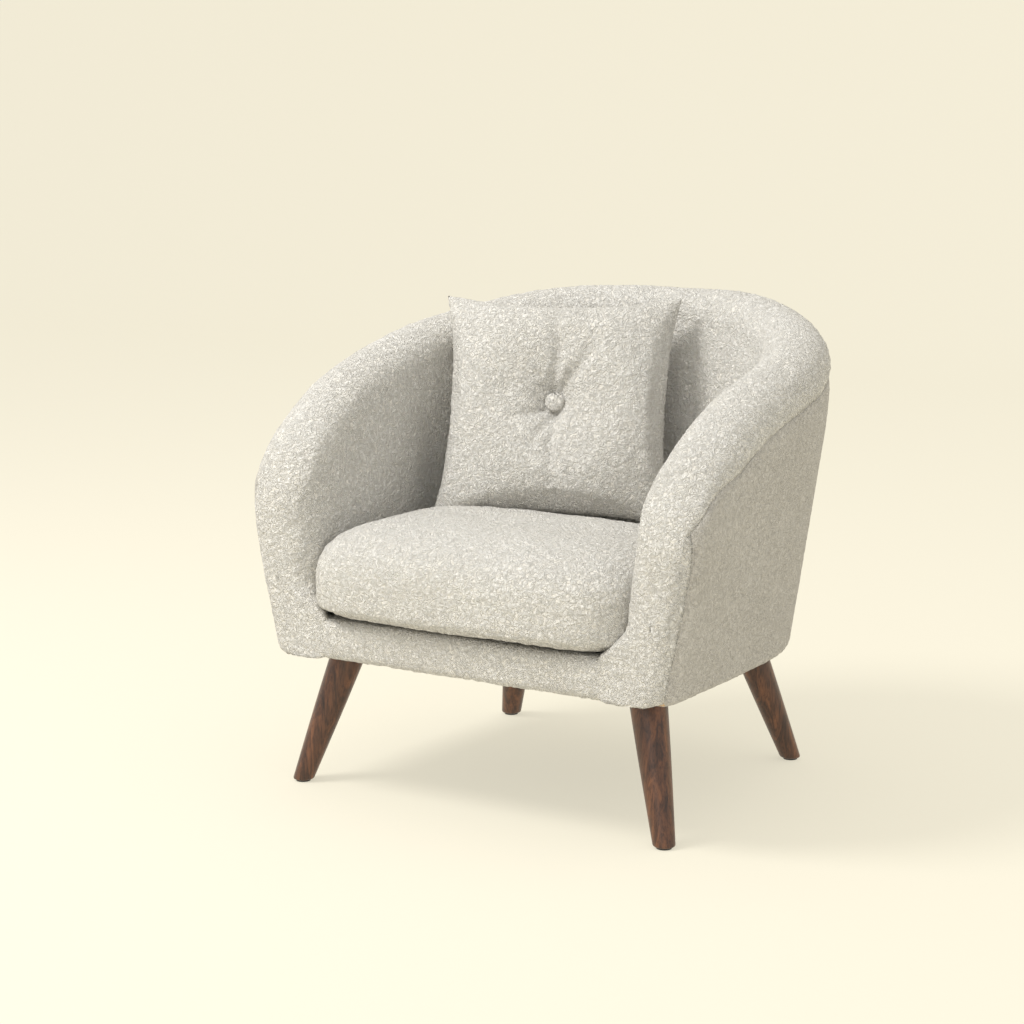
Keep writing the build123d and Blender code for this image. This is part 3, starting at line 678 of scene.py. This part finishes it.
def make_cushion():
    """The loose seat cushion: a rounded plan outline, flat below and domed above."""
    around, down = 300, 120
    angles = [2 * math.pi * i / around for i in range(around)]
    reaches = [cushion_reach((math.cos(a), math.sin(a))) for a in angles]
    softened = [sum(reaches[(i + k) % around] for k in range(-3, 4)) / 7 for i in range(around)]
    bottom = SEAT_LOW[2]
    waist = bottom + CUSHION_WAIST
    crown = SEAT_HIGH[2] + CUSHION_CROWN

    def place(column, row):
        i = column % around
        turn = math.pi * row / down
        reach = softened[i]
        if turn <= math.pi / 2:
            out = math.sin(turn) ** 0.42
            lift = math.cos(turn) ** 0.62
        else:
            out = math.sin(turn) ** 0.25
            lift = -(abs(math.cos(turn)) ** 0.42)
        x = CUSHION_POLE.x + math.cos(angles[i]) * reach * out
        y = CUSHION_POLE.y + math.sin(angles[i]) * reach * out
        if lift >= 0:
            back_drop = CUSHION_BACK_DROP * smooth(-0.12, 0.17, y)
            z = waist + (crown - back_drop - waist) * lift
        else:
            z = waist + (waist - bottom) * lift
        return Vector((x, y, z))

    bm, _ = grid(around, down, place)
    bmesh.ops.remove_doubles(bm, verts=bm.verts[:], dist=0.0003)
    bmesh.ops.recalc_face_normals(bm, faces=bm.faces[:])
    core_piece("cushion_foam", bm, 0.005, "foam", "seat_cushion", ("seat_cushion_foam",))
    roughen(bm)
    for vert in bm.verts:
        seam = abs(vert.co.z - (bottom + CUSHION_SEAM_UP))
        if seam < CUSHION_SEAM_HALF and vert.co.y < 0:
            vert.co += vert.normal * (-CUSHION_SEAM_DEPTH * (1 - seam / CUSHION_SEAM_HALF))
        vert.co.z = max(vert.co.z, bottom)
    piece = piece_from("seat_cushion", bm, CREAM, "seat_cushion", ("seat_cushion_cover",))


make_cushion()


# ------------------------------------------------------------------ seat deck
DECK_INSET = 0.004
DECK_POCKET = 0.0022


def make_deck():
    """The padded deck under the cushion, seen when the cushion is lifted."""
    low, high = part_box("deck_pad")
    around, rings, sides = 240, 70, 3
    half = high[0]
    bend_y = high[1] - half
    front = low[1]
    middle = Vector((0.0, (front + bend_y) / 2, 0.0))

    def reach(angle):
        dx, dy = math.cos(angle), math.sin(angle)
        to_side = half / abs(dx) if abs(dx) > 1e-6 else 9.0
        if dy < 0:
            return min(to_side, (middle.y - front) / -dy)
        if middle.y + dy * to_side <= bend_y:
            return to_side
        rise = (middle.y - bend_y) * dy
        return -rise + math.sqrt(rise * rise + half * half - (middle.y - bend_y) ** 2)

    reaches = [reach(2 * math.pi * i / around) for i in range(around)]

    def place(column, row):
        i = column % around
        angle = 2 * math.pi * i / around
        share = min(row / rings, 1.0)
        x = middle.x + math.cos(angle) * reaches[i] * share
        y = middle.y + math.sin(angle) * reaches[i] * share
        if row > rings:
            return Vector((x, y, mix(high[2] - DECK_INSET, low[2], (row - rings) / sides)))
        pocket = DECK_POCKET * math.cos(2 * math.pi * x / SPRING_PITCH)
        edge = 1.0 - smooth(0.90, 1.0, share)
        seam = 0.003 * math.exp(-(((y - front - 0.085) / 0.004) ** 2))
        return Vector((x, y, high[2] - DECK_INSET + (0.0015 + pocket) * edge - seam))

    bm, _ = grid(around, rings + sides, place)
    close_skin(bm)
    bm.normal_update()
    for vert in bm.verts:
        vert.co.z += 0.35 * cloth_height(vert.co) if vert.co.z > low[2] + 0.003 else 0.0
        vert.co.z = min(vert.co.z, high[2])
    piece = piece_from("seat_deck", bm, SHADE_DARKENED_BOUCLE, "root", ("deck_pad",))


make_deck()


# ------------------------------------------------------------------ pillow
def box_middle(node):
    low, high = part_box(node)
    return (Vector(low) + Vector(high)) / 2


FRONT_BUTTON = box_middle("pillow_front_button")
REAR_BUTTON = box_middle("pillow_rear_button")
PILLOW_CENTRE = (FRONT_BUTTON + REAR_BUTTON) / 2
FACING = (FRONT_BUTTON - REAR_BUTTON).normalized()
ACROSS = Vector((0, 0, 1)).cross(FACING).normalized()
UPWARD = FACING.cross(ACROSS)
PILLOW_SINK = 0.014
PILLOW_SIDE = 0.392
PILLOW_RISE = 0.070
PILLOW_CAP = 0.010
BUTTON_HOLD = 0.0135
BUTTON_R = 0.0152
BUTTON_STAND = 0.0048
PILLOW_CELLS = 84
CREASE_LIMIT = 0.0095


def pillow_matrix():
    """The pillow's frame, let down by how far it sinks into the cushion."""
    turn = Matrix((ACROSS, UPWARD, FACING)).transposed().to_4x4()
    return Matrix.Translation(PILLOW_CENTRE - Vector((0, 0, PILLOW_SINK))) @ turn


def crease(x, y):
    """Depth of the folds that run from the button over the front of the pillow."""
    lines = ((0.0, 1.0, 0.20, 0.0095), (0.03, -1.0, 0.20, 0.0085), (0.55, 0.83, 0.15, 0.0085),
             (-0.86, -0.5, 0.10, 0.0075), (-0.45, 0.89, 0.09, 0.0045), (-0.3, -0.95, 0.13, 0.006),
             (-0.97, 0.2, 0.06, 0.004), (0.9, 0.35, 0.05, 0.003))
    depth = 0.0
    for dx, dy, length, deep in lines:
        along = x * dx + y * dy
        across = x * dy - y * dx + 0.003 * math.sin(along * 60)
        width = 0.0055 + 0.04 * max(along, 0.0)
        run = smooth(0.004, 0.022, along) * (1.0 - smooth(0.3 * length, length, along))
        depth += deep * run * math.exp(-((across / width) ** 2))
    return min(depth, CREASE_LIMIT)


PILLOW_PULL = 0.015
PILLOW_EAR_TRIM = 0.022


def pillow_shape(x, y):
    """Place of a point of the pillow's front before it is blown up, from -1 to 1 each way."""
    half = PILLOW_SIDE / 2
    ear = 1.0 - PILLOW_EAR_TRIM * abs(x * y) ** 7
    px = x * ear * (half - PILLOW_PULL * (1 - y * y))
    py = y * ear * (half - PILLOW_PULL * (1 - x * x))
    rise = PILLOW_RISE * ((1 - abs(x) ** 2.6) * (1 - abs(y) ** 2.6)) ** 0.66
    reach = math.hypot(px, py)
    rise *= 1.0 - 0.34 * math.exp(-((reach / 0.030) ** 2)) - 0.28 * math.exp(-((reach / 0.085) ** 2))
    return px, py, rise


def make_pillow():
    bm = bmesh.new()
    for sign in (1, -1):
        made = bmesh.ops.create_grid(bm, x_segments=PILLOW_CELLS, y_segments=PILLOW_CELLS, size=1.0)
        for vert in made["verts"]:
            px, py, rise = pillow_shape(vert.co.x, vert.co.y)
            vert.co = (px, py, sign * rise)
    bmesh.ops.remove_doubles(bm, verts=bm.verts[:], dist=0.0005)
    bmesh.ops.recalc_face_normals(bm, faces=bm.faces[:])
    bm = blown_up(bm, BUTTON_HOLD, PILLOW_CAP)
    bmesh.ops.smooth_vert(bm, verts=bm.verts[:], factor=0.5,
                          use_axis_x=True, use_axis_y=True, use_axis_z=True)
    for vert in bm.verts:
        if vert.co.z > 0.004:
            vert.co.z -= crease(vert.co.x, vert.co.y) * smooth(0.004, 0.03, vert.co.z)
    bmesh.ops.transform(bm, matrix=pillow_matrix(), verts=bm.verts[:])
    bmesh.ops.recalc_face_normals(bm, faces=bm.faces[:])
    core_piece("pillow_fibre", bm, 0.005, "fibre_filling", "pillow", ("pillow_filling",))
    roughen(bm)
    made = piece_from("pillow", bm, CREAM, "pillow", ("pillow_cover",))
    return made


def blown_up(bm, held_reach, cap):
    """Cloth simulation of a closed cover under pressure, with its button held and its moves capped."""
    mesh = bpy.data.meshes.new("cover_in_simulation")
    bm.to_mesh(mesh)
    piece = bpy.data.objects.new("cover_in_simulation", mesh)
    scene.collection.objects.link(piece)
    held = piece.vertex_groups.new(name="held")
    for vert in mesh.vertices:
        if math.hypot(vert.co.x, vert.co.y) < held_reach:
            held.add([vert.index], 1.0, "REPLACE")
    cloth = piece.modifiers.new("cloth", "CLOTH")
    settings = cloth.settings
    settings.quality = 6
    settings.mass = 0.3
    settings.tension_stiffness = 20
    settings.compression_stiffness = 6
    settings.shear_stiffness = 10
    settings.bending_stiffness = 3.0
    settings.use_pressure = True
    settings.uniform_pressure_force = 4.0
    settings.vertex_group_mass = "held"
    settings.effector_weights.gravity = 0.0
    cloth.collision_settings.use_self_collision = False
    cloth.collision_settings.use_collision = False
    cloth.point_cache.frame_start = 1
    cloth.point_cache.frame_end = 30
    for moment in range(1, 21):
        scene.frame_set(moment)
    graph = bpy.context.evaluated_depsgraph_get()
    settled = bpy.data.meshes.new_from_object(piece.evaluated_get(graph))
    scene.frame_set(1)
    bm.verts.ensure_lookup_table()
    for vert, moved in zip(bm.verts, settled.vertices):
        step = moved.co - vert.co
        if step.length > cap:
            step *= cap / step.length
        vert.co += step
    bpy.data.objects.remove(piece)
    return bm


PILLOW = make_pillow()


def make_button(name, node, facing_sign):
    """A cloth-covered button: a domed disc with a rolled edge."""
    bm = bmesh.new()
    bmesh.ops.create_uvsphere(bm, u_segments=48, v_segments=24, radius=BUTTON_R)
    for vert in bm.verts:
        vert.co.z *= 0.42 if vert.co.z > 0 else 0.25
    turn = Matrix((ACROSS, UPWARD, FACING)).transposed().to_4x4()
    if facing_sign < 0:
        turn = turn @ Matrix.Rotation(math.pi, 4, "X")
    lift = FACING * (facing_sign * BUTTON_STAND)
    place = Matrix.Translation(BUTTON_SPOTS[facing_sign] + lift) @ turn
    bmesh.ops.transform(bm, matrix=place, verts=bm.verts[:])
    return piece_from(name, bm, CREAM, "pillow", (node,))


def button_spots():
    """Where the pillow's faces are lowest, at the middle of each side."""
    middle = PILLOW_CENTRE - Vector((0, 0, PILLOW_SINK))
    heights = {1: 0.0, -1: 0.0}
    for vert in PILLOW.data.vertices:
        off = vert.co - middle
        side = off.dot(FACING)
        if math.hypot(off.dot(ACROSS), off.dot(UPWARD)) < 0.012:
            sign = 1 if side > 0 else -1
            heights[sign] = max(heights[sign], abs(side))
    return {sign: middle + FACING * (sign * height) for sign, height in heights.items()}


BUTTON_SPOTS = button_spots()
make_button("front_button", "pillow_front_button", 1)
make_button("rear_button", "pillow_rear_button", -1)


# ------------------------------------------------------------------ legs
LEG_TOP_R = 0.0285
LEG_FOOT_R = 0.0162
CAD_LEG_TOP_R = 0.025
CAD_LEG_FOOT_R = 0.014
LEG_SWELL = 0.03


def make_leg(name):
    """One leg, a tapered round post that leans outwards down to its glide."""
    low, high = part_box(name)
    glide_low, glide_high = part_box(name.replace("leg_", "glide_"))
    foot = (Vector(glide_low) + Vector(glide_high)) / 2
    sign_x = 1.0 if foot.x > 0 else -1.0
    sign_y = 1.0 if foot.y > 0 else -1.0
    height = high[2] - low[2]
    span_x = (high[0] - low[0]) - CAD_LEG_FOOT_R - CAD_LEG_TOP_R
    span_y = (high[1] - low[1]) - CAD_LEG_FOOT_R - CAD_LEG_TOP_R
    bm = bmesh.new()
    bmesh.ops.create_cone(bm, cap_ends=True, segments=56, depth=height,
                          radius1=LEG_FOOT_R, radius2=LEG_TOP_R)
    rims = [edge for edge in bm.edges if abs(edge.verts[0].co.z - edge.verts[1].co.z) < 1e-6]
    foot_rim = [edge for edge in rims if edge.verts[0].co.z < 0]
    bmesh.ops.bevel(bm, geom=foot_rim, offset=0.003, offset_type="OFFSET", segments=4, profile=0.5,
                    affect="EDGES", material=-1)
    sides = [edge for edge in bm.edges if abs(edge.verts[0].co.z - edge.verts[1].co.z) > height / 2]
    bmesh.ops.subdivide_edges(bm, edges=sides, cuts=14, use_grid_fill=True)
    for vert in bm.verts:
        share = (height / 2 - vert.co.z) / height
        swell = 1.0 + LEG_SWELL * math.sin(math.pi * (1 - share))
        vert.co.x = vert.co.x * swell + foot.x - sign_x * span_x * (1 - share)
        vert.co.y = vert.co.y * swell + foot.y - sign_y * span_y * (1 - share)
        vert.co.z += low[2] + height / 2
    piece_from(name.replace("leg_", "turned_leg_"), bm, WALNUT, "root", (name,))


for spot in ("front_left", "front_right", "rear_left", "rear_right"):
    make_leg("leg_" + spot)

finish_cad_nodes()


# ------------------------------------------------------------------ floor, light and camera
def make_stage():
    """A pale floor that curves up into a backdrop."""
    material, _, _, shader, _ = new_material("pale_floor")
    shader.inputs["Base Color"].default_value = (0.34, 0.322, 0.272, 1.0)
    shader.inputs["Emission Color"].default_value = (1.0, 0.945, 0.775, 1.0)
    shader.inputs["Emission Strength"].default_value = 0.58
    shader.inputs["Roughness"].default_value = 1.0
    shader.inputs["Specular IOR Level"].default_value = 0.0
    bm = bmesh.new()
    wide, near_y, turn_y, radius, high = 14.0, -9.0, 5.0, 3.0, 9.0
    spots = [Vector((-wide, near_y, 0.0)), Vector((-wide, turn_y, 0.0))]
    spots += [Vector((-wide, turn_y + radius * math.sin(a), radius - radius * math.cos(a)))
              for a in [math.pi / 2 * i / 24 for i in range(1, 25)]]
    spots.append(Vector((-wide, turn_y + radius, high)))
    verts = [bm.verts.new(spot) for spot in spots]
    edges = [bm.edges.new(pair) for pair in zip(verts, verts[1:])]
    side = bmesh.ops.extrude_edge_only(bm, edges=edges)
    moved = [item for item in side["geom"] if isinstance(item, bmesh.types.BMVert)]
    bmesh.ops.translate(bm, verts=moved, vec=(2 * wide, 0, 0))
    bmesh.ops.recalc_face_normals(bm, faces=bm.faces[:])
    mesh = bpy.data.meshes.new("studio_floor")
    bm.to_mesh(mesh)
    bm.free()
    mesh.shade_smooth()
    mesh.materials.append(material)
    floor = bpy.data.objects.new("studio_floor", mesh)
    scene.collection.objects.link(floor)


def area_light(name, place, target, size, power, colour):
    light = bpy.data.lights.new(name, "AREA")
    light.shape = "DISK"
    light.size = size
    light.energy = power
    light.color = colour
    lamp = bpy.data.objects.new(name, light)
    lamp.location = place
    lamp.rotation_euler = (Vector(target) - Vector(place)).to_track_quat("-Z", "Y").to_euler()
    scene.collection.objects.link(lamp)


make_stage()
area_light("key", (-1.7, -1.9, 3.6), (0, 0, 0.35), 1.5, 112.0, (1.0, 0.985, 0.955))
area_light("front_fill", (1.0, -4.2, 2.0), (0, 0, 0.4), 3.2, 12.0, (1.0, 0.98, 0.94))
world = bpy.data.worlds.new("studio")
world.use_nodes = True
world.node_tree.nodes["Background"].inputs["Color"].default_value = (1.0, 0.985, 0.945, 1.0)
world.node_tree.nodes["Background"].inputs["Strength"].default_value = 0.88
scene.world = world
scene.view_settings.view_transform = "Standard"

CAMERA_PLACE = (1.8868, -3.1565, 1.0505)
CAMERA_TURN = 32.41
CAMERA_DOWN = 9.92
lens = bpy.data.cameras.new("camera")
lens.lens = 85.0
lens.sensor_width = 36.0
camera = bpy.data.objects.new("camera", lens)
camera.location = CAMERA_PLACE
camera.rotation_euler = (math.radians(90.0 - CAMERA_DOWN), 0.0, math.radians(CAMERA_TURN))
scene.collection.objects.link(camera)
scene.camera = camera
